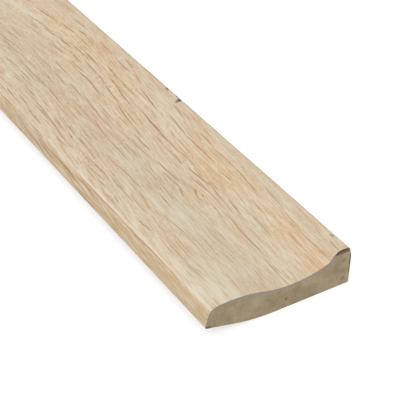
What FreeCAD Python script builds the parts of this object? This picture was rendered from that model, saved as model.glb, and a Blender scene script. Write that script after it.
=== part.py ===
import FreeCAD, Part
import math
import os

# Skirting board for parquet floors: a moulded fibreboard core with a thin oak veneer glued over its face.
# It lies on its back. X runs along the board, Y across it from the nose to the floor edge, Z up from the
# back. The origin is at the middle of the back, so the face looks up. All sizes are in millimetres.

# Overall sizes
board_length = 2400.0
board_width = 60.0
board_thickness = 15.0

# Veneer, and how far up from the back it starts on the floor edge
veneer_thickness = 0.6
veneer_start_height = 4.3

# Pad along the floor edge, which is the thickest part
pad_width = 7.4
floor_edge_radius = 1.0
pad_inner_radius = 0.9
riser_angle = 54.0
cove_radius = 1.6

# Hollow and hump of the face, each placed by its distance from the floor edge
hollow_from_edge = 24.8
hollow_height = 9.5
hump_from_edge = 50.4
hump_height = 13.1
hump_radius = 49.0

# Nose, the thin edge that ends up on top when the board is on a wall
shoulder_radius = 4.0
front_lean = 14.0
tip_radius = 0.9

# Back: a flat land, then a round that lifts the nose clear of the wall, and a broken corner at the floor
back_land = 31.0
relief_radius = 74.0
relief_angle = 13.6
back_corner_radius = 0.6

# Veneer torn off the end of the pad at the near end: how far along the pad, how far back, how far it is
# torn at the corner, and how deep
torn_width = 7.0
torn_back = 1.1
torn_back_at_corner = 0.7
torn_depth = 1.2

# Chips broken out of the floor edge's top corner, each a three-sided bite seen from above. For each: how
# far from the near end its point is, how far in from the floor edge, and where it starts and ends
chips = (
    {"point": 110.7, "reach": 3.3, "start": 110.0, "end": 112.8},
    {"point": 114.2, "reach": 1.6, "start": 113.6, "end": 115.0},
    {"point": 120.9, "reach": 1.7, "start": 120.2, "end": 121.6},
)
chip_depth = 0.75

# Places that follow from the sizes
floor_edge = board_width / 2
nose_edge = -board_width / 2
near_end = board_length / 2
far_end = -board_length / 2
blend = (hump_from_edge - hollow_from_edge) ** 2
drop = hump_height - hollow_height
hollow_radius = (blend + drop**2) / (2 * drop) - hump_radius
hump_centre = (floor_edge - hump_from_edge, hump_height - hump_radius)
hollow_centre = (floor_edge - hollow_from_edge, hollow_height + hollow_radius)


def step(point, angle, distance):
    """The place at this distance from a point of the section, along an angle in degrees."""
    turn = math.radians(angle)
    return (point[0] + distance * math.cos(turn), point[1] + distance * math.sin(turn))


def along_line(start, angle, centre, distance, far):
    """Where the line from start at this angle lies at this distance from centre, the far or near place."""
    aim = step((0.0, 0.0), angle, 1.0)
    back = (start[0] - centre[0], start[1] - centre[1])
    middle = back[0] * aim[0] + back[1] * aim[1]
    rest = back[0] ** 2 + back[1] ** 2 - distance**2
    root = math.sqrt(middle**2 - rest)
    travel = -middle + (root if far else -root)
    return step(start, angle, travel)


# Nose: the back's slope, the tip, the leaning front and the shoulder, each tangent to the next
relief_centre = (floor_edge - back_land, relief_radius)
slope_start = step(relief_centre, 270 - relief_angle, relief_radius)
tip_y = nose_edge + tip_radius
slope_run = slope_start[0] - tip_y
slope_rise = slope_run * math.tan(math.radians(relief_angle))
tip_lift = tip_radius / math.cos(math.radians(relief_angle))
tip_centre = (tip_y, slope_start[1] + slope_rise + tip_lift)
front_normal = 180 - front_lean
shoulder_line = step(tip_centre, front_normal + 180, shoulder_radius - tip_radius)
shoulder_centre = along_line(
    shoulder_line, 90 - front_lean, hump_centre, hump_radius - shoulder_radius, True
)

# Floor edge: the pad's corners, the riser up to the pad and the cove at its foot
pad_corner = (floor_edge - pad_width, board_thickness)
riser_normal = riser_angle + 90
bisector = pad_inner_radius * math.tan(math.radians(riser_angle / 2))
inner_centre = (pad_corner[0] + bisector, board_thickness - pad_inner_radius)
cove_line = step(inner_centre, riser_normal, pad_inner_radius + cove_radius)
cove_centre = along_line(
    cove_line, riser_angle + 180, hollow_centre, hollow_radius - cove_radius, True
)
edge_centre = (floor_edge - floor_edge_radius, board_thickness - floor_edge_radius)
back_corner = (floor_edge - back_corner_radius, back_corner_radius)


def angle_from(centre, point):
    return math.degrees(math.atan2(point[1] - centre[1], point[0] - centre[0]))


def point3d(place, x=0.0):
    return FreeCAD.Vector(x, place[0], place[1])


def arc(centre, radius, start, end):
    """An arc of the section from one angle to another, the shorter way round."""
    middle = (start + end) / 2
    places = [point3d(step(centre, angle, radius)) for angle in (start, middle, end)]
    return Part.Arc(*places).toShape()


def line(start, end):
    return Part.makeLine(point3d(start), point3d(end))


def face_edges(inset):
    """The face's outline from the tip to the floor edge, this far inside the veneer's outer surface."""
    shoulder_top = angle_from(hump_centre, shoulder_centre)
    hump_end = angle_from(hump_centre, hollow_centre)
    hollow_start = hump_end - 180
    hollow_end = angle_from(hollow_centre, cove_centre)
    bottom = 270 - relief_angle
    arcs = (
        (tip_centre, tip_radius - inset, bottom, front_normal),
        (shoulder_centre, shoulder_radius - inset, front_normal, shoulder_top),
        (hump_centre, hump_radius - inset, shoulder_top, hump_end),
        (hollow_centre, hollow_radius + inset, hollow_start, hollow_end),
        (cove_centre, cove_radius + inset, hollow_end, riser_normal - 180),
        (inner_centre, pad_inner_radius - inset, riser_normal, 90.0),
        (edge_centre, floor_edge_radius - inset, 90.0, 0.0),
    )
    edges = []
    last = None
    for centre, radius, start, end in arcs:
        first = step(centre, start, radius)
        if last is not None and math.dist(last, first) > 1e-6:
            edges.append(line(last, first))
        edges.append(arc(centre, radius, start, end))
        last = step(centre, end, radius)
    edges.append(line(last, (floor_edge - inset, veneer_start_height)))
    return edges


def extrude(edges):
    """A solid along the whole board from the closed outline of its section."""
    face = Part.Face(Part.Wire(edges))
    face.translate(FreeCAD.Vector(far_end, 0, 0))
    return face.extrude(FreeCAD.Vector(board_length, 0, 0))


tip_bottom = step(tip_centre, 270 - relief_angle, tip_radius)
tip_inside = step(tip_centre, 270 - relief_angle, tip_radius - veneer_thickness)
start_outside = (floor_edge, veneer_start_height)
start_inside = (floor_edge - veneer_thickness, veneer_start_height)


def core_solid():
    """Fibreboard: the flat back, the relieved underside of the nose, and the face under the veneer."""
    land_end = (floor_edge - back_land, 0.0)
    outline = [
        line(start_inside, start_outside),
        line(start_outside, (floor_edge, back_corner_radius)),
        arc(back_corner, back_corner_radius, 0.0, -90.0),
        line((floor_edge - back_corner_radius, 0.0), land_end),
        arc(relief_centre, relief_radius, 270.0, 270 - relief_angle),
        line(slope_start, tip_bottom),
        line(tip_bottom, tip_inside),
    ]
    return extrude(face_edges(veneer_thickness) + outline)


def veneer_solid():
    """Oak veneer of one thickness, bent round the tip, over the face and down the floor edge."""
    ends = [line(start_outside, start_inside), line(tip_inside, tip_bottom)]
    return extrude(face_edges(0.0) + ends + face_edges(veneer_thickness))


def torn_end():
    """The lens of veneer that is missing from the near end of the pad, widest in the middle."""
    low = board_thickness - torn_depth
    inner = FreeCAD.Vector(near_end, floor_edge - torn_width, low)
    middle = FreeCAD.Vector(near_end - torn_back, floor_edge - torn_width / 2, low)
    corner = FreeCAD.Vector(near_end - torn_back_at_corner, floor_edge, low)
    outside = FreeCAD.Vector(near_end, floor_edge, low)
    tear = Part.Arc(inner, middle, corner).toShape()
    outline = Part.Wire([tear, Part.makeLine(corner, outside), Part.makeLine(outside, inner)])
    return Part.Face(outline).extrude(FreeCAD.Vector(0, 0, 2 * torn_depth))


def chip_cutter(chip):
    """A three-sided bite out of the floor edge's top corner, with upright sides."""
    low = board_thickness - chip_depth
    outside = floor_edge + chip_depth
    corners = [
        FreeCAD.Vector(near_end - chip["start"], outside, low),
        FreeCAD.Vector(near_end - chip["end"], outside, low),
        FreeCAD.Vector(near_end - chip["point"], floor_edge - chip["reach"], low),
    ]
    outline = Part.makePolygon(corners + corners[:1])
    return Part.Face(outline).extrude(FreeCAD.Vector(0, 0, 2 * chip_depth))


os.makedirs("parts", exist_ok=True)
bites = [chip_cutter(chip) for chip in chips]
mdf_core = core_solid().cut(bites)
oak_veneer = veneer_solid().cut([torn_end(), *bites])
for name, solid in (("mdf_core", mdf_core), ("oak_veneer", oak_veneer)):
    solid.exportStep("parts/" + name + ".step")
    box = solid.BoundBox
    print(name, len(solid.Solids), solid.isValid(), round(solid.Volume, 1))
    print(round(box.XLength, 3), round(box.YLength, 3), round(box.ZLength, 3), len(solid.Faces))
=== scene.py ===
import math

import bpy
import numpy as np
from mathutils import Matrix, Vector


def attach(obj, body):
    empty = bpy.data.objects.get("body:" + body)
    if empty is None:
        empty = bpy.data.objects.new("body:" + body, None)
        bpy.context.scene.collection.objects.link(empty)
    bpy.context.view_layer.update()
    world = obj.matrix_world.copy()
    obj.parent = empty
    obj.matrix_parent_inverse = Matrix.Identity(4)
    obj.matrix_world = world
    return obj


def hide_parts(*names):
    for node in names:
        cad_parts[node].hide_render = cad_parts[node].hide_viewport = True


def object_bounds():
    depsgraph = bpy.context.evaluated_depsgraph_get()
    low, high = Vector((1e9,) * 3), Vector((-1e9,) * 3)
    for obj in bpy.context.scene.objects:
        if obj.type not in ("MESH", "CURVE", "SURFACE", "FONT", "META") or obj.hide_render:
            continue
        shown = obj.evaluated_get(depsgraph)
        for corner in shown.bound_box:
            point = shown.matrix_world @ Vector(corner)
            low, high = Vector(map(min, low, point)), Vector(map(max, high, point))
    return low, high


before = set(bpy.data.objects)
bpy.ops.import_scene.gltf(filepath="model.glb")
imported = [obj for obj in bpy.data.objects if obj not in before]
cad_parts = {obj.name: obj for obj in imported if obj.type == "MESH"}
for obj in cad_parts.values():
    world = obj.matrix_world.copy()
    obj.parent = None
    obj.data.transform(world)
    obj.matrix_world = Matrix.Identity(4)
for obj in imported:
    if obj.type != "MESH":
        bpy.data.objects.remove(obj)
cad_low, cad_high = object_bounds()

bl_info = {
    "name": "Parquet skirting board",
    "version": (1, 0, 0),
    "blender": (4, 5, 0),
    "location": "View3D > Sidebar > Skirting",
    "description": "Builds a veneered skirting board, its finish and a plain studio round it",
    "category": "Object",
}

MM = 0.001
NEAR_END = cad_high.x
FAR_END = cad_low.x
FLOOR_EDGE = cad_high.y
NOSE_EDGE = cad_low.y
FACE_TOP = cad_high.z
BOARD_LENGTH = NEAR_END - FAR_END


# Damage and looks. Places are in millimetres: along the board from the near end, and across it round the
# face from the nose's tip

# How far the veneer's end is torn back: place across, then the tear
TEAR = (
    (60.8, 0.0),
    (61.6, 0.5),
    (63.2, 1.0),
    (65.0, 1.1),
    (66.9, 0.95),
    (68.5, 0.7),
    (69.4, 0.45),
    (70.4, 0.0),
)
# The tear's rim is ragged by up to the first of these, where the tear is deeper than the second
RAGGED = 0.06
RAGGED_FROM = 0.2
# Chips out of the floor edge's top corner: where the point is, its reach inward, start and end
CHIPS = ((110.7, 3.3, 110.0, 112.8), (114.2, 1.6, 113.6, 115.0), (120.9, 1.7, 120.2, 121.6))
CHIP_DEPTH = 0.75

# The strongest pores near the end, all of one width: start along, start across, end along, end across and
# strength
PORE_WIDTH = 0.68
PORES = (
    (20, 7.5, 60, 7.2, 0.75), (44, 12.6, 56, 11.4, 0.6), (30, 12.2, 42, 13.0, 0.5),
    (14, 16.4, 32, 16.9, 0.45), (60, 7.2, 90, 7.1, 0.7), (92, 5.3, 113, 5.5, 0.8),
    (119, 6.6, 130, 7.1, 0.7), (116, 2.3, 137, 4.6, 0.7), (140, 2.0, 156, 2.7, 0.8),
    (144, 6.9, 157, 6.8, 0.8), (80, 3.0, 94, 2.7, 0.5), (65, 9.5, 75.5, 9.6, 0.6),
    (126, 9.8, 139, 10.9, 0.8), (66, 10.7, 71, 11.8, 0.5), (109, 11.0, 117, 11.7, 0.7),
    (139, 12.0, 150.5, 12.5, 0.8), (80, 12.8, 93, 12.4, 0.5), (109, 12.9, 143, 16.2, 0.8),
    (9, 13.9, 38, 14.2, 0.6), (64, 15.3, 81, 16.1, 0.75), (82, 14.9, 98.5, 14.6, 0.6),
    (109, 15.6, 116, 16.6, 0.8), (143, 17.2, 155, 17.9, 0.7), (92, 16.7, 129, 19.3, 0.8),
    (58, 19.3, 69, 20.9, 0.6), (97, 20.0, 112, 20.4, 0.5), (1, 21.8, 14, 22.4, 0.5),
    (32, 22.7, 54, 21.5, 0.6), (68, 22.4, 95, 22.1, 0.75), (108, 22.4, 119, 23.5, 0.6),
    (132, 24.0, 153, 25.9, 0.85), (19, 25.5, 39, 26.3, 0.55), (55, 26.6, 65, 28.0, 0.7),
    (125, 27.8, 134, 29.0, 0.7), (87, 28.3, 107, 29.3, 0.7), (106, 29.2, 120, 31.1, 0.9),
    (122, 30.0, 141, 31.9, 0.6), (59, 30.4, 70, 32.3, 0.7), (70, 32.3, 84, 32.2, 0.5),
    (22, 32.6, 40, 33.7, 0.4), (5, 33.4, 14, 33.9, 0.7), (116, 34.1, 144, 38.0, 0.65),
    (61, 35.5, 67, 36.9, 0.8), (66, 36.9, 79, 37.1, 0.7), (141, 36.1, 153, 37.2, 0.7),
    (87, 37.9, 108, 37.8, 0.6), (70, 39.1, 87, 38.9, 0.8), (3, 40.3, 17.5, 40.8, 0.5),
    (93, 40.7, 107, 41.1, 0.75), (60.4, 41.0, 63.6, 42.0, 0.9), (57.2, 42.3, 59.2, 42.7, 0.8),
    (47, 41.6, 52, 42.1, 0.6), (19, 42.1, 44, 44.0, 0.9), (111, 43.5, 129, 46.0, 0.9),
    (136, 43.0, 155, 45.2, 0.9), (47, 44.7, 59, 45.6, 0.6), (58, 45.6, 72, 44.8, 0.8),
    (79, 46.5, 93, 46.7, 0.6), (51, 46.7, 61, 48.2, 0.7), (61, 48.2, 77, 47.0, 0.8),
    (41, 47.8, 51, 49.4, 1.0), (130, 46.9, 155, 50.2, 0.8), (88, 49.0, 121, 51.7, 0.9),
    (75, 49.5, 86, 49.6, 0.6), (24, 49.7, 39, 50.6, 0.7), (123, 49.5, 149, 53.3, 0.9),
    (1, 53.6, 11, 54.1, 0.5), (35, 54.3, 45.5, 55.0, 0.6), (13, 55.0, 23, 55.6, 0.55),
    (58, 55.4, 67, 54.8, 0.7), (112, 55.6, 131, 58.4, 0.9), (70, 56.4, 94, 56.7, 0.8),
    (92, 56.6, 108, 58.2, 0.8), (143, 55.0, 155, 56.1, 0.8), (1, 57.6, 19, 58.7, 0.6),
    (45, 58.4, 61, 59.9, 0.6), (61, 59.9, 74, 60.1, 0.6), (19, 59.7, 30, 60.1, 0.5),
    (31, 60.7, 46, 62.5, 0.8), (78, 60.7, 88, 61.1, 0.7), (99, 61.2, 110, 62.5, 0.8),
    (130, 60.2, 139, 61.0, 0.7), (139, 60.6, 155, 61.2, 0.7), (1, 63.3, 7.5, 64.0, 1.0),
    (142, 63.0, 149.5, 63.9, 0.7), (150, 44.4, 159, 45.1, 0.8), (163, 48.4, 174, 49.0, 0.8),
    (152, 49.7, 165, 50.7, 0.9), (153, 52.8, 173.5, 53.6, 0.8), (169, 56.8, 182, 56.5, 0.8),
    (184, 57.0, 194, 56.1, 0.9), (155, 61.2, 169, 61.8, 0.8), (179, 62.0, 194, 61.2, 0.7),
    (176, 59.2, 183, 58.9, 0.8), (174.5, 46.3, 187, 45.6, 0.8), (175.5, 50.7, 189, 50.3, 0.8),
    (187, 50.3, 200, 48.5, 0.7), (200, 49.6, 214, 47.7, 0.7), (197, 55.4, 216, 53.3, 0.8),
    (182, 42.1, 189, 42.1, 0.6), (193, 45.6, 206, 43.6, 0.6), (192, 35.2, 208, 32.9, 0.8),
    (183, 31.1, 200, 28.8, 0.8), (168, 29.3, 181, 28.6, 0.7), (181, 28.0, 196, 27.0, 0.7),
    (153, 20.6, 164, 20.1, 0.7), (169, 21.9, 176.5, 21.5, 0.6), (150, 10.4, 157, 10.4, 0.8),
    (150, 29.6, 165, 31.4, 0.7), (150, 35.2, 164, 35.2, 0.7), (158, 39.8, 172, 40.4, 0.7),
    (150, 25.4, 163, 25.2, 0.6), (165, 35.6, 180, 36.2, 0.6),
)
# Patches of paler (positive) or warmer (negative) wood: place, half sizes and change
TONES = (
    (10, 14, 26, 10, 0.8),
    (30, 31, 30, 12, 0.2),
    (53, 27, 20, 8, 0.35),
    (55, 11, 30, 5, 0.2),
    (60, 20, 34, 8, 0.25),
    (88, 29, 20, 7, 0.2),
    (15, 54, 32, 7, -0.3),
    (66, 54, 22, 8, -0.5),
    (61, 41, 10, 4, -0.35),
    (110, 58, 24, 6, 0.35),
    (165, 62, 20, 5, -0.25),
    (125, 28, 30, 11, -0.4),
    (122, 45, 40, 7, -0.25),
    (168, 45, 26, 7, -0.3),
    # Painted light: a paler band along the riser near the end, where more light falls on it
    (15, 60, 30, 3, 0.2),
)
# Patches with pale flecks across the grain: place and half sizes
RAYS = (
    (137, 31, 11, 6),
    (90, 25, 9, 5),
    (98, 13.5, 9, 4),
    (172, 34, 16, 10),
    (120, 22, 9, 5),
    (150, 47, 10, 5),
)
# Whitish patches: place, half sizes, turn in degrees and strength
PALES = (
    (8, 10.2, 8, 1.2, 2, 0.6),
    (6, 14, 12, 2.6, 8, 1.0),
    (27, 10.4, 18, 1.2, 3, 0.9),
    (40, 12.2, 12, 0.9, 5, 0.7),
    (54, 10.8, 10, 1.7, 12, 1.0),
    (3, 18.5, 8, 3, 0, 0.7),
    (71, 17.5, 5, 2.2, 35, 0.8),
    (51, 28.5, 12, 3.4, 20, 0.8),
    (60, 22.5, 10, 2.2, 12, 0.8),
    (42, 26.5, 8, 1.5, 5, 0.6),
    (111, 17.5, 6, 2, 35, 0.7),
    (138, 26, 6, 2.5, 30, 0.5),
    (165, 15, 5, 2.5, 25, 0.7),
    (177.5, 30.5, 4, 2.5, 25, 0.7),
    (216, 49.0, 34, 2.2, -7, 1.0),
)
# Bluish-grey specks, and painted shade and highlights of dents and chips: place, half sizes, turn in
# degrees and strength
MARKS = (
    (9.3, 66.2, 1.4, 0.85, -8, 0.7),
    (110.7, 64.7, 1.1, 0.6, 60, 1.0),
    (121.5, 67.2, 1.6, 0.9, 30, 1.0),
    (117.3, 8.9, 0.9, 0.5, 70, 0.5),
    (104.0, 35.0, 0.8, 0.35, 35, 0.5),
    (126.8, 51.8, 0.5, 0.4, 0, 0.6),
    (140.6, 49.5, 0.9, 0.4, 15, 0.7),
    (178.3, 42.6, 0.7, 0.5, 30, 0.5),
    (199.0, 40.6, 0.7, 0.5, 20, 0.4),
    (194.8, 55.8, 0.8, 0.5, 20, 0.5),
    (173.7, 49.2, 0.6, 0.5, 0, 0.5),
)
# Painted shade beside the chips, where the broken veneer's edge throws shade, in the same way
CHIP_SHADES = (
    (112.2, 66.4, 1.9, 0.6, 57, 0.9),
    (114.3, 67.6, 1.4, 0.9, 30, 0.9),
    (120.9, 67.8, 0.8, 0.6, 30, 0.8),
)
# A pit and smudges on the sawn near end: place across from the middle, height, half size and strength
END_MARKS = (
    (2.94, 3.86, 0.75, 0.7),
    (27.1, 2.7, 1.4, 0.35),
    (27.2, 10.9, 1.3, 0.2),
    (-28.6, 4.4, 1.6, 0.8),
    (24.0, 7.5, 8.0, 0.12),
    (10.0, 1.0, 8.0, 0.16),
)

# Textures of the oak: length and width of a cell in millimetres, a shift that gives each its own part of
# the noise, and for the flecks their turn from the grain
SLOW_SWAY = (30.0, 9.0, 6.6)
QUICK_SWAY = (11.0, 4.0, 1.3)
BANDS = (150.0, 7.0, 0.3)
CLOUDS = (34.0, 9.0, 7.1)
STREAKS = (18.0, 1.2, 3.7)
HAIRS = (7.0, 0.5, 2.9)
GRIT = (1.7, 0.8, 9.4)
FLAMES = (17.0, 0.9, 4.6)
BUSY_PATCHES = (90.0, 12.0, 5.9)
FINE_PORES = (13.0, 0.7, 5.3)
MEDIUM_PORES = (34.0, 1.15, 1.9)
STRONG_PORES = (75.0, 1.7, 8.6)
FLECKED_PATCHES = (40.0, 12.0, 2.2)
FLECKS = (4.0, 0.9, 0.0, math.radians(38))
# Patchiness of the painted highlight along the shoulder and of the painted shade along the floor edge's
# corner
PATCHY_LINES = (14.0, 50.0, 4.4)
EDGE_FIBRES = (1.0, 0.5)
# Textures of the broken fibres and of the fibreboard, in the same way
BROKEN_FIBRES = (0.8, 0.5)
BOARD_CLOUDS = (5.0, 5.0, 2.4)
BOARD_FIBRES = (0.9, 0.6, 4.1)
BOARD_SPECKS = (0.35, 0.35, 7.3)

# Where the rows start that the board's length is laid out in for baking, in metres from the near end, and
# how many steps each row has. The veneer's first row is shorter and finer, and the core's first row is what
# the torn veneer bares
VENEER_ROWS = (0.0, 0.240, 0.960, 1.680, BOARD_LENGTH)
VENEER_STEPS = (80, 48, 48, 48)
BACK_ROWS = (0.0, 0.800, 1.600, BOARD_LENGTH)
BACK_STEPS = (1, 16, 16, 16)
TORN_ROW = 0.0015
# The part of the baking sheet's length that is used, and edges sharper than this stay sharp
SHEET_SPAN = (0.002, 0.998)
SHARP = math.radians(25)

# The studio, in metres. The lamp and the camera are placed from here, below the middle of the near end
STUDIO = Vector((NEAR_END, 0.0, 0.0))
FLOOR_REACH = 40.0
LAMP_SIZES = (4.5, 1.6)
LAMP_PLACE = STUDIO + Vector((0.3, -0.9, 2.1))
LAMP_AIM = STUDIO + Vector((-0.3, 0.0, 0.0))
CAMERA_PLACE = STUDIO + Vector((0.28048, -0.22070, 0.30680))
# The way the camera looks: degrees round from +Y, down from level, and rolled
CAMERA_TURNS = (56.336, 36.288, 2.076)
# In millimetres
FOCAL_LENGTH = 122.98
SENSOR_WIDTH = 36.0


# Sizes and colours that a user would change


def size(name, description, millimetres):
    """A length of the board, given in millimetres and kept in metres."""
    return bpy.props.FloatProperty(
        name=name, description=description, default=millimetres * MM, min=0.0, unit="LENGTH", precision=5
    )


def angle(name, description, degrees):
    return bpy.props.FloatProperty(
        name=name, description=description, default=math.radians(degrees), unit="ROTATION"
    )


def colour(name, description, red, green, blue):
    """A finish's colour, given as the numbers of a colour picker from 0 to 255."""
    linear = [((c / 255 + 0.055) / 1.055) ** 2.4 for c in (red, green, blue)]
    return bpy.props.FloatVectorProperty(
        name=name, description=description, default=linear, size=3, min=0.0, max=1.0, subtype="COLOR"
    )


def amount(name, description, value, most=1.0):
    return bpy.props.FloatProperty(name=name, description=description, default=value, min=0.0, max=most)


class SKIRTING_PG_section(bpy.types.PropertyGroup):
    """The board's section, as it lies on its back with the face up."""

    veneer: size("Veneer", "Thickness of the oak veneer", 0.6)
    veneer_start: size("Veneer start", "How far up from the back the veneer starts on the floor edge", 4.3)
    pad_width: size("Pad width", "Width of the flat pad along the floor edge", 7.4)
    edge_radius: size("Edge radius", "Radius of the pad's corner at the floor edge", 1.0)
    pad_radius: size("Pad radius", "Radius of the pad's inner corner", 0.9)
    riser: angle("Riser", "Slope of the face up to the pad", 54.0)
    cove_radius: size("Cove radius", "Radius at the foot of the riser", 1.6)
    hollow_from_edge: size("Hollow", "Distance of the hollow's lowest line from the floor edge", 24.8)
    hollow_height: size("Hollow height", "Height of the face at the bottom of the hollow", 9.5)
    hump_from_edge: size("Hump", "Distance of the hump's highest line from the floor edge", 50.4)
    hump_height: size("Hump height", "Height of the face on top of the hump", 13.1)
    hump_radius: size("Hump radius", "Radius of the hump", 49.0)
    shoulder_radius: size("Shoulder radius", "Radius from the hump down to the nose", 4.0)
    front_lean: angle("Front lean", "How far the nose's front leans back", 14.0)
    tip_radius: size("Tip radius", "Radius of the nose's lowest edge", 0.9)
    back_land: size("Back land", "Width of the flat part of the back", 31.0)
    relief_radius: size("Relief radius", "Radius that lifts the nose's underside", 74.0)
    relief: angle("Relief", "Slope of the nose's underside", 13.6)
    back_radius: size("Back corner", "Radius of the back's corner at the floor edge", 0.6)


class SKIRTING_PG_oak(bpy.types.PropertyGroup):
    """Colours and gloss of the lacquered oak."""

    pale: colour("Pale wood", "Silvery wood between the pores", 224, 211, 181)
    warm: colour("Warm wood", "Pinker, warmer bands of wood", 221, 188, 150)
    pore: colour("Pore", "Open pores, cut along their length", 168, 116, 78)
    nose: colour("Nose", "Warmer wood round the nose", 214, 184, 138)
    shade: colour("Shade", "Darker streaks along the grain", 196, 160, 124)
    flame: colour("Flame", "Dark streaks round the nose", 184, 140, 98)
    halo: colour("Halo", "Warmer wood beside the pores", 212, 168, 124)
    fleck: colour("Fleck", "Pale streaks, and flecks across the grain", 234, 223, 201)
    # Painted highlight along the shoulder's bend, which also stands for whitish lacquer there
    crease_highlight: colour("Crease", "Whitish lacquer along the shoulder", 240, 226, 217)
    # Painted shade along the floor edge's rounded top corner, where it turns away from the light
    rim: colour("Rim", "Greyish line along the corner of the floor edge", 122, 120, 104)
    # Bluish-grey specks, and painted shade and highlights that stand for small dents and the chips
    mark: colour("Mark", "Small bluish dents and specks", 122, 124, 134)
    # Painted shade beside the chips, where the broken veneer's edge throws shade
    chip_shading: colour("Bruise", "Bruised wood beside the chips", 122, 102, 98)
    edge: colour("Sawn edge", "Sawn edge of the veneer on the ends", 174, 164, 164)
    edge_dark: colour("Sawn edge, dark", "Darker fibres of the sawn edge", 150, 138, 138)
    # Darker colour of the sawn edges, also used as painted shade on the torn edge along the pad
    stain_and_shade: colour("Stain", "Dark stains on broken and sawn edges", 98, 84, 72)
    glue: colour("Glue", "Reddish-brown glue on bared fibreboard", 140, 108, 82)
    roughness: amount("Roughness", "Roughness of the satin lacquer", 0.42)


class SKIRTING_PG_board(bpy.types.PropertyGroup):
    """Colours of the moulded fibreboard."""

    mid: colour("Fibreboard", "Middle colour of the sawn fibreboard", 194, 176, 144)
    dark: colour("Dark fibres", "Darker clouds in the fibreboard", 146, 127, 98)
    pit: colour("Pit", "Pits and smudges on the sawn end", 92, 78, 56)
    glue: colour("Glue", "Brown glue on bared fibreboard", 106, 83, 64)
    broken: colour("Broken fibres", "Brown fibres in the chips", 146, 122, 106)
    # Painted bluish-grey highlight among the broken fibres in the chips
    chip_shading: colour("Bruised fibres", "Bluish-grey fibres in the chips", 98, 98, 110)


class SKIRTING_PG_studio(bpy.types.PropertyGroup):
    """Light and floor of the plain studio."""

    sky: amount("Sky", "Strength of the even light from all round", 0.42, 5.0)
    key: bpy.props.FloatProperty(
        name="Key light", description="Power of the large soft lamp", default=43.0, min=0.0, unit="POWER"
    )
    floor: colour("Floor", "Colour of the floor in the light that it throws on the board", 240, 240, 240)
    seen_floor: colour("Seen floor", "Colour of the floor as the camera sees it", 180, 180, 180)
    floor_glow: amount("Floor glow", "Glow that takes the seen floor up to white", 0.7)


# The section, worked out from its sizes


def step(point, turn, distance):
    """The place at this distance from a point of the section, along an angle in radians."""
    return (point[0] + distance * math.cos(turn), point[1] + distance * math.sin(turn))


def along_line(start, turn, centre, distance):
    """Where the line from start along this angle leaves the circle of this radius round centre."""
    aim = step((0.0, 0.0), turn, 1.0)
    back = (start[0] - centre[0], start[1] - centre[1])
    middle = back[0] * aim[0] + back[1] * aim[1]
    rest = back[0] ** 2 + back[1] ** 2 - distance**2
    return step(start, turn, -middle + math.sqrt(middle**2 - rest))


def bearing(centre, point):
    return math.atan2(point[1] - centre[1], point[0] - centre[0])


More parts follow.
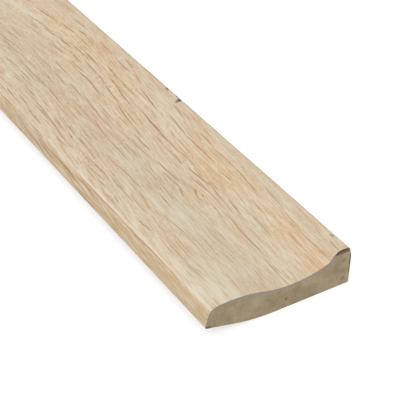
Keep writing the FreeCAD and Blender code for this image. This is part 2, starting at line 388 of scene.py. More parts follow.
class Section:
    """The closed section of the board: the face from the nose's tip to the floor edge, and the back."""

    # Arcs are divided into chords no longer than this that turn no more than this
    chord = 0.8 * MM
    finest = math.radians(8)
    # How many chords the two arcs of the back have, and what counts as one point
    corner_chords = 6
    relief_chords = 24
    same = 1e-7

    def __init__(self, sizes):
        half = math.pi / 2
        self.sizes = sizes
        blend = (sizes.hump_from_edge - sizes.hollow_from_edge) ** 2
        drop = sizes.hump_height - sizes.hollow_height
        hollow_radius = (blend + drop**2) / (2 * drop) - sizes.hump_radius
        hump = (FLOOR_EDGE - sizes.hump_from_edge, sizes.hump_height - sizes.hump_radius)
        hollow = (FLOOR_EDGE - sizes.hollow_from_edge, sizes.hollow_height + hollow_radius)

        self.relief_centre = (FLOOR_EDGE - sizes.back_land, sizes.relief_radius)
        slope_start = step(self.relief_centre, -half - sizes.relief, sizes.relief_radius)
        tip_y = NOSE_EDGE + sizes.tip_radius
        rise = (slope_start[0] - tip_y) * math.tan(sizes.relief)
        tip = (tip_y, slope_start[1] + rise + sizes.tip_radius / math.cos(sizes.relief))
        front = 2 * half - sizes.front_lean
        line = step(tip, front + 2 * half, sizes.shoulder_radius - sizes.tip_radius)
        reach = sizes.hump_radius - sizes.shoulder_radius
        shoulder = along_line(line, half - sizes.front_lean, hump, reach)

        setback = sizes.pad_radius * math.tan(sizes.riser / 2)
        pad = (FLOOR_EDGE - sizes.pad_width + setback, FACE_TOP - sizes.pad_radius)
        riser = sizes.riser + half
        line = step(pad, riser, sizes.pad_radius + sizes.cove_radius)
        cove = along_line(line, sizes.riser + 2 * half, hollow, hollow_radius - sizes.cove_radius)
        edge = (FLOOR_EDGE - sizes.edge_radius, FACE_TOP - sizes.edge_radius)

        top = bearing(hump, shoulder)
        hump_end = bearing(hump, hollow)
        hollow_end = bearing(hollow, cove)
        self.tip = tip
        self.bottom = 3 * half - sizes.relief
        # Centre, radius, side of the arc that the face is on, first and last angle
        self.arcs = (
            (tip, sizes.tip_radius, -1, self.bottom, front),
            (shoulder, sizes.shoulder_radius, -1, front, top),
            (hump, sizes.hump_radius, -1, top, hump_end),
            (hollow, hollow_radius, 1, hump_end - 2 * half, hollow_end),
            (cove, sizes.cove_radius, 1, hollow_end, riser - 2 * half),
            (pad, sizes.pad_radius, -1, riser, half),
            (edge, sizes.edge_radius, -1, half, 0.0),
        )

    def arc(self, centre, radius, count, start, end):
        return [step(centre, start + (end - start) * i / count, radius) for i in range(count + 1)]

    def steps(self, radius, turn):
        """Into how many chords an arc is divided."""
        return max(2, math.ceil(abs(turn) / self.finest), math.ceil(radius * abs(turn) / self.chord))

    def face(self, inset):
        """The face's outline this far under its surface, with the same number of points for any inset."""
        points = []
        for centre, radius, side, start, end in self.arcs:
            arc = self.arc(centre, radius + side * inset, self.steps(radius, end - start), start, end)
            if points and math.dist(points[-1], arc[0]) < self.same:
                arc = arc[1:]
            elif points:
                points += self.between(points[-1], arc[0])
            points += arc
        last = (FLOOR_EDGE - inset, self.sizes.veneer_start)
        return np.array(points + self.between(points[-1], last) + [last])

    def between(self, first, last):
        """Points that divide a straight stretch into chords."""
        count = max(1, round(math.dist(first, last) / self.chord))
        shares = [i / count for i in range(1, count)]
        return [tuple(a + (b - a) * share for a, b in zip(first, last)) for share in shares]

    def back(self):
        """The back's outline from the floor edge to the nose's tip, without the points the face ends on."""
        sizes = self.sizes
        corner = (FLOOR_EDGE - sizes.back_radius, sizes.back_radius)
        half = math.pi / 2
        points = [(FLOOR_EDGE, sizes.veneer_start)]
        points += self.arc(corner, sizes.back_radius, self.corner_chords, 0.0, -half)
        slope = -half - sizes.relief
        points += self.arc(self.relief_centre, sizes.relief_radius, self.relief_chords, -half, slope)
        points.append(step(self.tip, self.bottom, sizes.tip_radius))
        return np.array(points)


def distances(outline):
    """How far each point is along an outline."""
    return np.concatenate([[0.0], np.cumsum(np.linalg.norm(np.diff(outline, axis=0), axis=1))])


def nearest(outline, places):
    """Where on the outline, in segments, the nearest place to each of these points is, and how far off."""
    starts = outline[:-1]
    runs = np.diff(outline, axis=0)
    lengths = np.linalg.norm(runs, axis=1)
    ahead = places[:, None, :] - starts[None]
    share = np.clip((ahead * runs).sum(-1) / (lengths**2), 0.0, 1.0)
    gap = np.linalg.norm(ahead - share[..., None] * runs, axis=-1)
    best = gap.argmin(1)
    rows = np.arange(len(places))
    return best + share[rows, best], gap[rows, best]


def developed(outline, places):
    """How far along the outline the nearest place to each of these points is, and how far off."""
    steps, gap = nearest(outline, places)
    return np.interp(steps, np.arange(len(outline)), distances(outline)), gap


# Meshes


def loft(name, rings, capped):
    """A closed mesh through rings of points, each ring the board's section at one place along it."""
    count = len(rings[0])
    faces = []
    for first in range(0, (len(rings) - 1) * count, count):
        for i in range(count):
            j = (i + 1) % count
            faces.append((first + i, first + j, first + count + j, first + count + i))
    faces += [tuple(reversed(face)) for face in capped(0)]
    faces += capped((len(rings) - 1) * count)
    mesh = bpy.data.meshes.new(name)
    mesh.from_pydata(np.concatenate(rings).tolist(), [], faces)
    piece = bpy.data.objects.new(name, mesh)
    bpy.context.scene.collection.objects.link(piece)
    return piece


def with_x(x, outline):
    """An outline of the section set at one place along the board, or at one for each of its points."""
    return np.column_stack([np.broadcast_to(x, len(outline)), outline])


def stations(rows, steps):
    """Distances from the near end at which a mesh has a section: each row is divided into so many steps."""
    stretches = zip(rows, rows[1:], steps)
    parts = [np.linspace(first, last, count, endpoint=False) for first, last, count in stretches]
    return np.concatenate([*parts, rows[-1:]])


def chips():
    """The three bites out of the floor edge's top corner, as one cutter. Each has upright sides."""
    low, high = FACE_TOP - CHIP_DEPTH * MM, FACE_TOP + CHIP_DEPTH * MM
    points, faces = [], []
    for point, reach, start, end in CHIPS:
        corners = ((start, -CHIP_DEPTH), (end, -CHIP_DEPTH), (point, reach))
        first = len(points)
        for z in (low, high):
            points += [(NEAR_END - along * MM, FLOOR_EDGE - inward * MM, z) for along, inward in corners]
        faces += [(first, first + 2, first + 1), (first + 3, first + 4, first + 5)]
        for i, j in ((0, 1), (1, 2), (2, 0)):
            faces.append((first + i, first + j, first + 3 + j, first + 3 + i))
    mesh = bpy.data.meshes.new("chips")
    mesh.from_pydata(points, [], faces)
    cutter = bpy.data.objects.new("chips", mesh)
    bpy.context.scene.collection.objects.link(cutter)
    return cutter


def take_out(piece, cutter):
    """Takes the cutter's volume out of a piece, and gives the cut faces the cutter's material."""
    cut = piece.modifiers.new("bites", "BOOLEAN")
    cut.object = cutter
    cut.solver = "EXACT"
    cut.material_mode = "TRANSFER"
    bpy.context.view_layer.update()
    seen = piece.evaluated_get(bpy.context.evaluated_depsgraph_get())
    mesh = bpy.data.meshes.new_from_object(seen)
    piece.modifiers.clear()
    piece.data = mesh
    bpy.data.objects.remove(cutter)


class Sheet:
    """The faces of a mesh laid out flat: the map that its colours are baked to, and other maps."""

    # Free space under each band, as a share of the sheet, as all its measures are
    gap = 0.0025

    def __init__(self, mesh):
        self.mesh = mesh
        count = len(mesh.polygons)
        self.normals = self.read(mesh.polygons, "normal", 3)
        self.centres = self.read(mesh.polygons, "center", 3)
        self.materials = self.read(mesh.polygons, "material_index", 1, int)[:, 0]
        corners = self.read(mesh.loops, "vertex_index", 1, int)[:, 0]
        self.places = self.read(mesh.vertices, "co", 3)[corners]
        self.faces = np.repeat(np.arange(count), self.read(mesh.polygons, "loop_total", 1, int)[:, 0])
        self.along = NEAR_END - self.places[:, 0]
        self.face_along = NEAR_END - self.centres[:, 0]
        self.flat = np.zeros((len(corners), 2))
        self.after = np.arange(1, len(corners) + 1)
        self.after[np.flatnonzero(np.diff(self.faces, append=count))] = np.flatnonzero(
            np.diff(self.faces, prepend=-1)
        )
        self.top = 0.0

    def read(self, items, name, width, kind=float):
        values = np.zeros(len(items) * width, kind)
        items.foreach_get(name, values)
        return values.reshape(-1, width)

    def mean(self, values):
        """The mean over each face of a value given at its corners."""
        return np.bincount(self.faces, values) / np.bincount(self.faces)

    def add(self, name, along, across):
        layer = self.mesh.uv_layers.new(name=name, do_init=False)
        layer.uv.foreach_set("vector", np.column_stack([along, across]).astype(np.float32).ravel())

    def band(self, height):
        """The next free band of the sheet."""
        low = self.top + self.gap
        self.top = low + height
        return low, self.top

    def lay(self, chosen, along, across, band, span=SHEET_SPAN):
        """Fits the chosen faces into a band by one measure along it and one across it, never mirrored."""
        corners = chosen[self.faces]
        for column, values, (low, high) in ((0, along, span), (1, across, band)):
            part = values[corners]
            least = part.min()
            self.flat[corners, column] = low + (high - low) * (part - least) / (part.max() - least)
        here, there = self.flat[corners], self.flat[self.after[corners]]
        if (here[:, 0] * there[:, 1] - here[:, 1] * there[:, 0]).sum() < 0:
            self.flat[corners, 0] = sum(span) - self.flat[corners, 0]

    def rows(self, chosen, edges, across, heights):
        """Lays the chosen faces in one row for each stretch of the board's length."""
        for first, last, height in zip(edges, edges[1:], heights):
            here = chosen & (self.face_along > first) & (self.face_along < last)
            self.lay(here, self.along, across, self.band(height))

    def bites(self, chosen, height):
        """Lays the faces of the chips in one band: for each chip its floor and its two walls."""
        band = self.band(height)
        floor = np.abs(self.normals[:, 2]) > 0.5
        kinds = (floor, ~floor & (self.normals[:, 0] > 0), ~floor & (self.normals[:, 0] < 0))
        cells = len(kinds) * len(CHIPS)
        y, z = self.places[:, 1], self.places[:, 2]
        for number, (point, reach, start, end) in enumerate(CHIPS):
            near = chosen & (np.abs(self.face_along - (start + end) / 2 * MM) < (end - start) * MM)
            for kind, faces in enumerate(kinds):
                here = near & faces
                left = (number * len(kinds) + kind + 0.1) / cells
                if here.any():
                    self.lay(here, self.along, y if kind == 0 else z, band, (left, left + 0.8 / cells))


# Grain of the veneer


class Grain:
    """How the grain runs over the face. Places are in millimetres: along the board from the near end, and
    across it from the nose's tip, round the face to the floor edge."""

    # Slow waves of the grain: where each starts, its length and half of how far it moves the grain across
    waves = ((0, 340, 5.0), (340, 410, 4.0), (340, 270, 2.5), (900, 610, -3.5))
    # Small knots that the grain flows round: place, reach along, and how far they push the grain aside
    knots = ((57, 41.5, 10, 1.5), (742, 22, 32, 3.5), (1384, 52, 28, 3.0), (2015, 30, 34, 3.6))
    # Across a knot, how soon its push is at its full, and how far it reaches
    core = 4.0
    spread = 16.0

    def lie(self, along, across):
        """Across, less what the grain has moved: it stays the same along one line of the grain."""
        moved = 0.0
        for start, length, half in self.waves:
            moved = moved + half * (1 - np.cos(2 * math.pi * np.maximum(along - start, 0) / length))
        for knot_along, knot_across, reach, push in self.knots:
            beside = across - knot_across
            fade = np.exp(-(((along - knot_along) / reach) ** 2) - (beside / self.spread) ** 2)
            moved = moved + push * beside / (np.abs(beside) + self.core) * fade
        return across - moved


# Materials


class Value:
    """A socket of a material, used in plain arithmetic: each operator adds the Math node that it needs."""

    def __init__(self, material, socket):
        self.material = material
        self.socket = socket

    def math(self, operation, *values, clamp=False):
        return self.material.math(operation, self, *values, clamp=clamp)

    def __add__(self, other):
        return self.math("ADD", other)

    __radd__ = __add__

    def __sub__(self, other):
        return self.math("SUBTRACT", other)

    def __rsub__(self, other):
        return self.material.math("SUBTRACT", other, self)

    def __mul__(self, other):
        return self.math("MULTIPLY", other)

    __rmul__ = __mul__

    def __truediv__(self, other):
        return self.math("DIVIDE", other)

    def __abs__(self):
        return self.math("ABSOLUTE")

    def clamped(self):
        return self.math("ADD", 0.0, clamp=True)

    def most(self, other):
        return self.math("MAXIMUM", other)


class Nodes:
    """A material or a world, made node by node."""

    def __init__(self, data):
        self.data = data
        data.use_nodes = True
        self.tree = data.node_tree
        self.tree.nodes.clear()

    def node(self, kind, settings=None, sockets=None):
        """Adds a node: its settings first, then the values or links of its sockets."""
        made = self.tree.nodes.new("ShaderNode" + kind)
        for name, value in (settings or {}).items():
            setattr(made, name, value)
        for key, value in (sockets or {}).items():
            if isinstance(value, Value):
                self.tree.links.new(value.socket, made.inputs[key])
            else:
                made.inputs[key].default_value = value
        return made

    def value(self, kind, output, settings=None, sockets=None):
        """Adds a node and gives one of its outputs."""
        return Value(self, self.node(kind, settings, sockets).outputs[output])

    def math(self, operation, *values, clamp=False):
        settings = {"operation": operation, "use_clamp": clamp}
        return self.value("Math", "Value", settings, dict(enumerate(values)))

    def blend(self, factor, first, second):
        """A colour between two others."""
        first, second = (c if isinstance(c, Value) else (*c, 1.0) for c in (first, second))
        return self.value("Mix", 2, {"data_type": "RGBA"}, {0: factor, 6: first, 7: second})

    def ramp(self, value, low, high, most=1.0):
        """0 up to low, most from high on and a soft climb between them. Low may be the larger."""
        sockets = {"Value": value, "From Min": low, "From Max": high, "To Max": most}
        return self.value("MapRange", "Result", {"interpolation_type": "SMOOTHSTEP"}, sockets)

    def near(self, value, middle, reach, most=1.0):
        """Most where a value is at the middle, falling softly to 0 at this reach from it."""
        return self.ramp(abs(value - middle), reach, 0.0, most)

    def local(self, vector, place, turn, scale):
        """Places as seen from one place: moved, turned and then divided by a size in each direction."""
        sockets = {"Vector": vector, "Location": place, "Rotation": (0.0, 0.0, turn), "Scale": scale}
        return self.value("Mapping", "Vector", {"vector_type": "TEXTURE"}, sockets)

    def cells(self, vector, along, across, shift=0.0, turn=0.0):
        """Places in metres turned into a texture's cells, of this length and width in millimetres and
        shifted by so many of them."""
        scale = (along * MM, across * MM, across * MM)
        return self.local(vector, tuple(-shift * part for part in scale), turn, scale)

    def noise(self, vector, cell, detail=2.0, roughness=0.5, dimensions="2D"):
        place = self.cells(vector, *cell)
        sockets = {"Vector": place, "Scale": 1.0, "Detail": detail, "Roughness": roughness}
        return self.value("TexNoise", "Fac", {"noise_dimensions": dimensions}, sockets)

    def dashes(self, vector, cell, reach):
        """Lens-shaped marks, one to a cell, each of its own length and strength, and their halos."""
        sockets = {"Vector": self.cells(vector, *cell), "Scale": 1.0}
        found = self.node("TexVoronoi", {"voronoi_dimensions": "2D"}, sockets)
        chance = self.node("SeparateColor", None, {"Color": Value(self, found.outputs["Color"])})
        length, strength = (Value(self, chance.outputs[i]) for i in (0, 1))
        depth = 1.0 - Value(self, found.outputs["Distance"]) / (reach * (0.35 + 0.65 * length))
        strength = self.ramp(strength, -0.2, 0.9)
        return self.ramp(depth, 0.0, 0.4) * strength, self.ramp(depth, -1.6, 0.0) * strength

    def spot(self, vector, place, half_sizes, turn=0.0, most=1.0, soft=0.6):
        """A lens-shaped mark at one place, with its half length and half width in metres and a soft rim."""
        local = self.local(vector, (*place, 0.0), turn, (*half_sizes, 1.0))
        cone = self.value("TexGradient", "Fac", {"gradient_type": "SPHERICAL"}, {"Vector": local})
        return self.ramp(cone, 0.0, soft, most)

    def parts(self, vector):
        """The three parts of a vector."""
        split = self.node("SeparateXYZ", None, {0: vector})
        return [Value(self, output) for output in split.outputs]

    def patch(self, vector, place, turn=0.0, most=1.0, soft=0.6):
        """A spot given by its place and half sizes in millimetres and its turn in degrees."""
        along, across, half_along, half_across = (part * MM for part in place)
        return self.spot(vector, (along, across), (half_along, half_across), math.radians(turn), most, soft)

    def surface(self, sockets):
        """Ends a material in one shader with these sockets."""
        shader = self.value("BsdfPrincipled", "BSDF", None, sockets)
        self.node("OutputMaterial", None, {"Surface": shader})
        return self.data


def material(name):
    return Nodes(bpy.data.materials.new(name))


def placed_pores(oak, lie, grain):
    """The strongest pores, each placed one by one and lying along the grain."""
    total = None
    for start, start_across, end, end_across, strength in PORES:
        first = grain.lie(start, start_across)
        last = grain.lie(end, end_across)
        middle = ((start + end) / 2 * MM, (first + last) / 2 * MM)
        half = math.dist((start, first), (end, last)) / 2 * MM
        turn = math.atan2(last - first, end - start)
        mark = oak.spot(lie, middle, (half * 1.2, PORE_WIDTH / 2 * MM), turn, strength, 0.4)
        total = mark if total is None else total.most(mark)
    return total


def oak_material(finish, grain):
    """Lacquered oak veneer: bands of paler and warmer wood, open pores and pale flecks."""
    oak = material("lacquered_oak")
    straight = oak.value("UVMap", "UV", {"uv_map": "Grain"})
    board = oak.value("UVMap", "UV", {"uv_map": "Board"})
    along, across, _ = oak.parts(board)
    sway = (oak.noise(straight, SLOW_SWAY) - 0.5) * (1.8 * MM)
    sway = sway + (oak.noise(straight, QUICK_SWAY, detail=1.0) - 0.5) * (0.35 * MM)
    lie = oak.local(straight, oak.value("CombineXYZ", 0, None, {"Y": sway}), 0.0, (1.0, 1.0, 1.0))

    # Bands and patches of paler and warmer wood
    bands = oak.noise(lie, BANDS, detail=3.0, roughness=0.55)
    clouds = oak.noise(lie, CLOUDS)
    streaks = oak.noise(lie, STREAKS, roughness=0.6)
    hairs = oak.noise(lie, HAIRS, detail=1.0)
    grit = oak.noise(board, GRIT, roughness=0.7)
    tone = 0.56 + 0.9 * (bands - 0.5) + 0.7 * (clouds - 0.5) + 0.4 * (streaks - 0.5) + 1.2 * (grit - 0.5)
    for *patch, change in TONES:
        tone = tone + oak.patch(board, patch) * change
    wood = oak.blend(tone.clamped(), finish.warm, finish.pale)

    # Streaks along the grain, livelier on the nose
    nose = oak.ramp(across, 7.4 * MM, 6.0 * MM)
    wood = oak.blend(nose * (0.25 + oak.ramp(along, 170 * MM, 130 * MM, 0.55)), wood, finish.nose)
    dark_streaks = oak.ramp(streaks + 0.7 * (hairs - 0.5) + 0.5 * (grit - 0.5), 0.5, 0.2, 0.3)
    wood = oak.blend(dark_streaks, wood, finish.shade)
    wood = oak.blend(oak.ramp(streaks + 1.2 * (hairs - 0.5), 0.48, 0.82, 0.62), wood, finish.fleck)
    flames = oak.noise(lie, FLAMES, roughness=0.6)
    lively = nose * (0.2 + oak.near(along, 98 * MM, 55 * MM, 0.8))
    wood = oak.blend(lively * oak.ramp(flames, 0.52, 0.3), wood, finish.flame)
    wood = oak.blend(lively * oak.ramp(flames, 0.54, 0.8), wood, finish.fleck)

    # Pores, with a warmer halo beside them. The strong ones are placed one by one near the end, and are
    # scattered beyond. The placed ones have no relief, which keeps the material small enough to render
    calm = oak.ramp(along, 95 * MM, 30 * MM, 0.6)
    busy = oak.ramp(oak.noise(lie, BUSY_PATCHES, detail=1.0), 0.3, 0.62) * (1.0 - calm)
    fine, halo = oak.dashes(lie, FINE_PORES, 0.3)
    medium, medium_halo = oak.dashes(lie, MEDIUM_PORES, 0.28)
    strong, strong_halo = oak.dashes(lie, STRONG_PORES, 0.25)
    beyond = oak.ramp(along, 195 * MM, 225 * MM)
    placed = placed_pores(oak, lie, grain) * (0.70 + oak.ramp(along, 30 * MM, 80 * MM, 0.16))
    medium_share = 0.1 + 0.6 * busy
    pores = (fine * (0.3 + 0.3 * busy)).most(medium * medium_share)
    pores = pores.most(0.85 * strong * beyond)
    relief = 0.3 * streaks - pores
    pores = pores.most(placed)
    halo = (0.3 * halo).most(medium_halo * medium_share).most(strong_halo * beyond)
    wood = oak.blend(0.3 * halo, wood, finish.halo)
    wood = oak.blend(pores, wood, finish.pore)

    # Pale flecks across the grain, pale grit and whitish patches
    flecked = oak.ramp(oak.noise(board, FLECKED_PATCHES), 0.5, 0.66)
    flecked = flecked * oak.ramp(along, 180 * MM, 230 * MM)
    for patch in RAYS:
        flecked = flecked.most(oak.patch(board, patch))
    flecks, _ = oak.dashes(board, FLECKS, 0.4)
    wood = oak.blend(0.75 * flecked * flecks, wood, finish.fleck)
    pale_grit = oak.ramp(grit, 0.52, 0.78) * oak.ramp(along, -60 * MM, 160 * MM, 0.6)
    wood = oak.blend(pale_grit, wood, finish.fleck)
    for *patch, turn, strength in PALES:
        pale = oak.patch(board, patch, turn, strength, 1.0)
        wood = oak.blend(pale * (0.1 + 1.4 * streaks), wood, finish.fleck)

    # A painted highlight along the shoulder, which also stands for whitish lacquer on the bend, and painted
    # shade along the floor edge's rounded top corner
    patchy = oak.ramp(oak.noise(board, PATCHY_LINES, detail=3.0), 0.35, 0.65)
    # Painted highlight along the shoulder, also standing for whitish lacquer on the bend: strongest a
    # little way from the near end, with a patchy width
    highlight_fading = 0.3 + oak.ramp(along, 130 * MM, 70 * MM, 0.5) - oak.ramp(along, 50 * MM, 15 * MM, 0.2)
    reach = patchy * (0.12 * MM + oak.ramp(along, 22 * MM, 4 * MM, 0.6 * MM))
    crease_highlight = oak.ramp(abs(across - 8.0 * MM) - reach, 0.26 * MM, 0.0) * highlight_fading
    wood = oak.blend(crease_highlight, wood, finish.crease_highlight)
    # Painted shade: a greyish line along the floor edge's rounded top corner, only over the first stretch
    # from the near end
    rim = oak.ramp(across, 66.65 * MM, 67.75 * MM) * oak.ramp(across, 68.5 * MM, 67.8 * MM)
    rim = rim * oak.ramp(along, 6 * MM, 30 * MM) * oak.ramp(along, 450 * MM, 250 * MM) * (0.4 + 0.3 * patchy)
    wood = oak.blend(rim, wood, finish.rim)

    # Bluish-grey specks with painted shade and highlights of dents and chips, then painted shade beside the
    # chips
    for marks, tint in ((MARKS, finish.mark), (CHIP_SHADES, finish.chip_shading)):
        for *patch, turn, strength in marks:
            wood = oak.blend(oak.patch(board, patch, turn, strength), wood, tint)

    normal = oak.value("Bump", "Normal", None, {"Strength": 1.0, "Distance": 0.05 * MM, "Height": relief})
    rough = 0.25 * pores + finish.roughness
    return oak.surface({"Base Color": wood, "Roughness": rough, "Normal": normal})


def edge_material(finish):
    """The veneer's sawn edge on the board's ends, with glue and a darker band on its floor side, darker
    near the nose's tip, and painted shade at the pad, where the near end is torn.
    """
    edge = material("veneer_edge")
    board = edge.value("UVMap", "UV", {"uv_map": "Board"})
    _, across, _ = edge.parts(board)
    fibres = edge.noise(board, EDGE_FIBRES, detail=3.0)
    wood = edge.blend(edge.ramp(fibres, 0.3, 0.7), finish.edge_dark, finish.edge)
    # Painted shade along the pad where the near end's veneer is torn, and darker bands on the floor side
    # and near the nose's tip
    stain_and_shade = edge.ramp(across, 68.5 * MM, 70.0 * MM) * edge.ramp(across, 75.5 * MM, 74.5 * MM)
    stain_and_shade = stain_and_shade.most(edge.near(across, 65.0 * MM, 4.5 * MM)).most(edge.ramp(across, 1.6 * MM, 0.4 * MM))
    wood = edge.blend(stain_and_shade, wood, finish.stain_and_shade)
    wood = edge.blend(edge.ramp(across, 74.5 * MM, 75.5 * MM), wood, finish.glue)
    return edge.surface({"Base Color": wood, "Roughness": 0.8})


def broken_material(finish):
    """Broken fibres in the bites out of the floor edge, mixed with a painted bluish-grey highlight."""
    broken = material("broken_edge")
    place = broken.value("TexCoord", "Object")
    fibres = broken.noise(place, BROKEN_FIBRES, dimensions="3D")
    wood = broken.blend(broken.ramp(fibres, 0.35, 0.65), finish.broken, finish.chip_shading)
    return broken.surface({"Base Color": wood, "Roughness": 0.9})


def fibreboard_material(finish):
    """Sawn and moulded fibreboard: soft clouds, fine fibres, a pit and smudges on the near end."""
    board = material("fibreboard")
    place = board.value("TexCoord", "Object")
    x, y, z = board.parts(place)
    clouds = board.noise(place, BOARD_CLOUDS, detail=3.0, roughness=0.6, dimensions="3D")
    fibres = board.noise(place, BOARD_FIBRES, dimensions="3D")
    specks = board.noise(place, BOARD_SPECKS, dimensions="3D")
    tone = 0.62 + 1.4 * (clouds - 0.5) + 0.7 * (fibres - 0.5) + 1.0 * (specks - 0.5)
    fibreboard = board.blend(tone.clamped(), finish.dark, finish.mid)

    end = board.ramp(x, NEAR_END - 0.4 * MM, NEAR_END - 0.1 * MM)
    section = board.value("CombineXYZ", "Vector", None, {"X": y, "Y": z})
    for mark_y, mark_z, half, strength in END_MARKS:
        mark = board.patch(section, (mark_y, mark_z, half, half), 0.0, strength)
        fibreboard = board.blend(mark * end, fibreboard, finish.pit)
    # Glue on the core's top under the pad, which the torn veneer bares
    bared = board.ramp(z, FACE_TOP - 0.9 * MM, FACE_TOP - 0.65 * MM)
    fibreboard = board.blend(0.9 * bared, fibreboard, finish.glue)

    height = 0.6 * clouds + 0.4 * fibres
    normal = board.value("Bump", "Normal", None, {"Strength": 0.6, "Distance": 0.1 * MM, "Height": height})
    return board.surface({"Base Color": fibreboard, "Roughness": 0.9, "Normal": normal})


# Operators


def chip(piece, finish):
    """Takes the chips out of a piece, with broken fibres on their faces, and smooths its rounds."""
    cutter = chips()
    cutter.data.materials.append(broken_material(finish))
    take_out(piece, cutter)
    piece.data.shade_smooth()
    piece.data.set_sharp_from_angle(angle=SHARP)


class SKIRTING_OT_core(bpy.types.Operator):
    """Makes the fibreboard core, with its flat back and sawn ends"""

    bl_idname = "skirting.core"
    bl_label = "Fibreboard core"

    # The sheet for baking: heights of its bands, and the parts of its length that the two ends take
    back_bands = (0.23, 0.23, 0.23)
    near_end_band = 0.14
    near_end_span = (0.002, 0.562)
    far_end_band = 0.1
    far_end_span = (0.57, 0.97)
    torn_band = 0.012
    hidden_bands = (0.03, 0.03, 0.03)
    chips_band = 0.02

    def execute(self, context):
        section = Section(context.scene.skirting_section)
        top = section.face(section.sizes.veneer)
        back = section.back()
        outline = np.concatenate([top, back])
        count = len(outline)
        rows = (0.0, TORN_ROW, *BACK_ROWS[1:])
        rings = [with_x(NEAR_END - s, outline) for s in stations(rows, BACK_STEPS)]

        def caps(first):
            return [tuple(range(first, first + count))]

        piece = loft("core_board", rings, caps)
        piece.data.materials.append(fibreboard_material(context.scene.skirting_board))
        chip(piece, context.scene.skirting_board)
        self.lay_out(Sheet(piece.data), top, np.concatenate([top[-1:], back, top[:1]]))
        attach(piece, "root")
        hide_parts("mdf_core")
        return {"FINISHED"}

    def lay_out(self, sheet, top, back):
        """The sheet for baking: the back in rows, both ends, and the hidden top in narrow rows."""
        across_top, off_top = developed(top, sheet.places[:, 1:])
        across_back, off_back = developed(back, sheet.places[:, 1:])
        broken = sheet.materials == 1
        end = (np.abs(sheet.normals[:, 0]) > 0.99) & ~broken
        under = ~end & ~broken & (sheet.mean(off_back) < sheet.mean(off_top))
        above = ~end & ~broken & ~under
        sheet.rows(under, BACK_ROWS, across_back, self.back_bands)
        band = sheet.band(self.near_end_band)
        y, z = sheet.places[:, 1], sheet.places[:, 2]
        sheet.lay(end & (sheet.centres[:, 0] > 0), y, z, band, self.near_end_span)
        band = (band[0], band[0] + self.far_end_band)
        sheet.lay(end & (sheet.centres[:, 0] < 0), y, z, band, self.far_end_span)
        torn = above & (sheet.face_along < TORN_ROW)
        sheet.lay(torn, across_top, sheet.along, sheet.band(self.torn_band))
        sheet.rows(above & ~torn, BACK_ROWS, across_top, self.hidden_bands)
        sheet.bites(broken, self.chips_band)
        sheet.add("OFBake", *sheet.flat.T)


class SKIRTING_OT_veneer(bpy.types.Operator):
    """Makes the oak veneer, torn off the pad's near end and chipped along the floor edge"""

    bl_idname = "skirting.veneer"
    bl_label = "Oak veneer"

    # The sheet for baking: heights of its bands, and the parts of its length that the seams take, at the
    # nose's tip and at the floor edge
    face_bands = (0.27, 0.193, 0.193, 0.193)
    inside_bands = (0.014, 0.014, 0.014, 0.014)
    seam_band = 0.003
    tip_seam_span = (0.002, 0.498)
    edge_seam_span = (0.502, 0.998)
    end_band = 0.013
    chips_band = 0.018
    # In millimetres under the surface: faces above the first depth are outside, faces below the second are
    # inside, and those between are seams
    outside_depth = 0.15
    inside_depth = 0.45
    # Seams nearer the nose's tip than this are its own
    tip_reach = 10.0

    def execute(self, context):
        section = Section(context.scene.skirting_section)
        outer = section.face(0.0)
        inner = section.face(section.sizes.veneer)
        outline = np.concatenate([outer, inner[::-1]])
        half = len(outer)
        rings = [with_x(NEAR_END - s, outline) for s in stations(VENEER_ROWS, VENEER_STEPS)]
        torn = np.interp(distances(outer) / MM, *zip(*TEAR)) * MM
        ragged = np.random.default_rng(4).uniform(-RAGGED, RAGGED, half) * MM
        torn = torn + ragged * (torn > RAGGED_FROM * MM)
        rings[0][:, 0] -= np.concatenate([torn, torn[::-1]])

        def caps(first):
            last = first + 2 * half - 1
            return [(first + i, first + i + 1, last - 1 - i, last - i) for i in range(half - 1)]

        piece = loft("face_veneer", rings, caps)
        mesh = piece.data
        oak = context.scene.skirting_oak
        grain = Grain()
        mesh.materials.append(oak_material(oak, grain))
        mesh.materials.append(edge_material(oak))
        for face in mesh.polygons[-2 * (half - 1):]:
            face.material_index = 1
        chip(piece, context.scene.skirting_board)
        self.lay_out(Sheet(piece.data), outer, inner, grain)
        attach(piece, "root")
        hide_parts("oak_veneer")
        return {"FINISHED"}

    def lay_out(self, sheet, outer, inner, grain):
        """The maps of the board and its grain, and the sheet for baking: the face first, then the rest."""
        along = sheet.along
        across, depth = developed(outer, sheet.places[:, 1:])
        sheet.add("Board", along, across)
        sheet.add("Grain", along, grain.lie(along / MM, across / MM) * MM)

        depths = sheet.mean(depth) / MM
        skin = sheet.materials == 0
        outside, inside = depths < self.outside_depth, depths > self.inside_depth
        sheet.rows(skin & outside, VENEER_ROWS, across, self.face_bands)
        across_inner, _ = nearest(inner, sheet.places[:, 1:])
        sheet.rows(skin & inside, VENEER_ROWS, across_inner, self.inside_bands)
        seam = skin & ~outside & ~inside
        near_tip = sheet.mean(across) < self.tip_reach * MM
        end = sheet.materials == 1
        for first, last in zip(VENEER_ROWS, VENEER_ROWS[1:]):
            here = seam & (sheet.face_along > first) & (sheet.face_along < last)
            band = sheet.band(self.seam_band)
            sheet.lay(here & near_tip, along, depth, band, self.tip_seam_span)
            sheet.lay(here & ~near_tip, along, depth, band, self.edge_seam_span)
        sheet.lay(end & (sheet.centres[:, 0] > 0), across, depth, sheet.band(self.end_band))
        sheet.lay(end & (sheet.centres[:, 0] < 0), across, depth, sheet.band(self.end_band))
        sheet.bites(sheet.materials == 2, self.chips_band)
        sheet.add("OFBake", *sheet.flat.T)


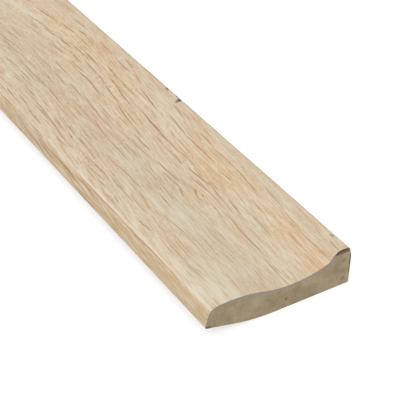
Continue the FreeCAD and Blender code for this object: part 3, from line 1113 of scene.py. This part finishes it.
class SKIRTING_OT_stage(bpy.types.Operator):
    """Makes the floor, the lights, the white surroundings and the camera"""

    bl_idname = "skirting.stage"
    bl_label = "Studio"

    def execute(self, context):
        studio = context.scene.skirting_studio
        self.floor(studio)
        self.surroundings(context.scene, studio)
        self.key_light(studio)
        self.camera(context.scene)
        context.scene.view_settings.view_transform = "Standard"
        return {"FINISHED"}

    def floor(self, studio):
        mesh = bpy.data.meshes.new("floor")
        corners = [(x * FLOOR_REACH, y * FLOOR_REACH, 0) for x, y in ((-1, -1), (1, -1), (1, 1), (-1, 1))]
        mesh.from_pydata(corners, [], [(0, 1, 2, 3)])
        floor = bpy.data.objects.new("floor", mesh)
        bpy.context.scene.collection.objects.link(floor)
        paper = material("white_floor")
        seen = paper.value("LightPath", "Is Camera Ray")
        mesh.materials.append(
            paper.surface(
                {
                    "Base Color": paper.blend(seen, studio.floor, studio.seen_floor),
                    "Roughness": 1.0,
                    "Specular IOR Level": 0.0,
                    "Emission Color": paper.blend(seen, (0.0, 0.0, 0.0), (1.0, 1.0, 1.0)),
                    "Emission Strength": studio.floor_glow,
                }
            )
        )

    def surroundings(self, scene, studio):
        air = Nodes(bpy.data.worlds.new("studio"))
        path = air.node("LightPath")
        seen = Value(air, path.outputs["Is Camera Ray"])
        seen = seen.most(Value(air, path.outputs["Is Transmission Ray"]))
        seen = seen.most(Value(air, path.outputs["Is Glossy Ray"]))
        strength = seen * (1.0 - studio.sky) + studio.sky
        sockets = {"Color": (1.0, 1.0, 1.0, 1.0), "Strength": strength}
        light = air.value("Background", "Background", None, sockets)
        air.node("OutputWorld", None, {"Surface": light})
        scene.world = air.data

    def key_light(self, studio):
        data = bpy.data.lights.new("key", "AREA")
        data.shape = "RECTANGLE"
        data.size, data.size_y = LAMP_SIZES
        data.energy = studio.key
        lamp = bpy.data.objects.new("key", data)
        lamp.location = LAMP_PLACE
        lamp.rotation_euler = (LAMP_AIM - LAMP_PLACE).to_track_quat("-Z", "Y").to_euler()
        bpy.context.scene.collection.objects.link(lamp)

    def camera(self, scene):
        data = bpy.data.cameras.new("camera")
        data.lens = FOCAL_LENGTH
        data.sensor_width = SENSOR_WIDTH
        data.clip_start = 0.01
        camera = bpy.data.objects.new("camera", data)
        azimuth, elevation, roll = (math.radians(turn) for turn in CAMERA_TURNS)
        turn = Matrix.Rotation(azimuth, 4, "Z")
        turn = turn @ Matrix.Rotation(math.pi / 2 - elevation, 4, "X") @ Matrix.Rotation(roll, 4, "Z")
        camera.matrix_world = Matrix.Translation(CAMERA_PLACE) @ turn
        scene.collection.objects.link(camera)
        scene.camera = camera


class SKIRTING_PT_panel(bpy.types.Panel):
    """Sizes, colours and the pieces of the skirting board"""

    bl_idname = "SKIRTING_PT_panel"
    bl_label = "Skirting board"
    bl_space_type = "VIEW_3D"
    bl_region_type = "UI"
    bl_category = "Skirting"

    def draw(self, context):
        for group in ("skirting_section", "skirting_oak", "skirting_board", "skirting_studio"):
            settings = getattr(context.scene, group)
            box = self.layout.box()
            for name in settings.__annotations__:
                box.prop(settings, name)
        for operator in (SKIRTING_OT_core, SKIRTING_OT_veneer, SKIRTING_OT_stage):
            self.layout.operator(operator.bl_idname)


GROUPS = {
    "skirting_section": SKIRTING_PG_section,
    "skirting_oak": SKIRTING_PG_oak,
    "skirting_board": SKIRTING_PG_board,
    "skirting_studio": SKIRTING_PG_studio,
}
CLASSES = (*GROUPS.values(), SKIRTING_OT_core, SKIRTING_OT_veneer, SKIRTING_OT_stage, SKIRTING_PT_panel)


def register():
    for made in CLASSES:
        bpy.utils.register_class(made)
    for name, group in GROUPS.items():
        setattr(bpy.types.Scene, name, bpy.props.PointerProperty(type=group))


def unregister():
    for name in GROUPS:
        delattr(bpy.types.Scene, name)
    for made in reversed(CLASSES):
        bpy.utils.unregister_class(made)


def main():
    register()
    bpy.ops.skirting.stage()
    bpy.ops.skirting.core()
    bpy.ops.skirting.veneer()


if __name__ == "__main__":
    main()
